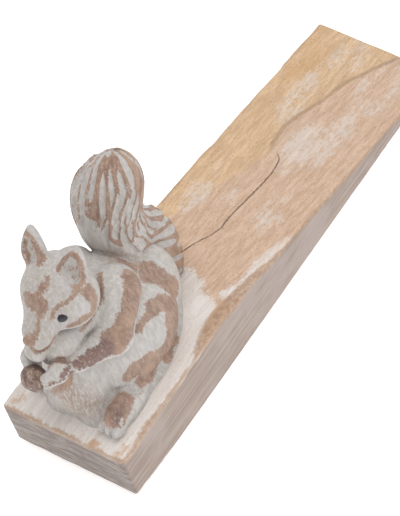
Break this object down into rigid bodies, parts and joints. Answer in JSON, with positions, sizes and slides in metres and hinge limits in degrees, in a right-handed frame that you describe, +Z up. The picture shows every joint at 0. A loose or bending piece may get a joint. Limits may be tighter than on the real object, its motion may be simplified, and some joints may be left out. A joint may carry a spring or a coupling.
{
  "type": "door wedge",
  "caption": "Sanded wooden door wedge with a carved, whitewashed squirrel holding a nut on its thick end.",
  "frame": {"origin": "middle of the flat sole, on the floor", "axes": "+Z up; +Y from the thick end, which the squirrel faces, to the thin tip; +X to the squirrel's left"},
  "size_m": [0.055, 0.2142, 0.1185],
  "materials": {
    "board_wood": "sanded, partly rubbed with white",
    "carved_wood": "whitewashed and rubbed back to the wood",
    "dowel_wood": "plain",
    "nut_wood": "stained brown, rubbed",
    "eye_black": "satin",
    "screw_steel": "zinc plated"
  },
  "bodies": {
    "root": {"wedge_base": "board_wood", "squirrel_body": "carved_wood", "squirrel_tail": "carved_wood", "tail_dowel": "dowel_wood", "nut": "nut_wood", "eye_left": "eye_black", "eye_right": "eye_black", "figure_screws": "screw_steel"}
  },
  "joints": []
}
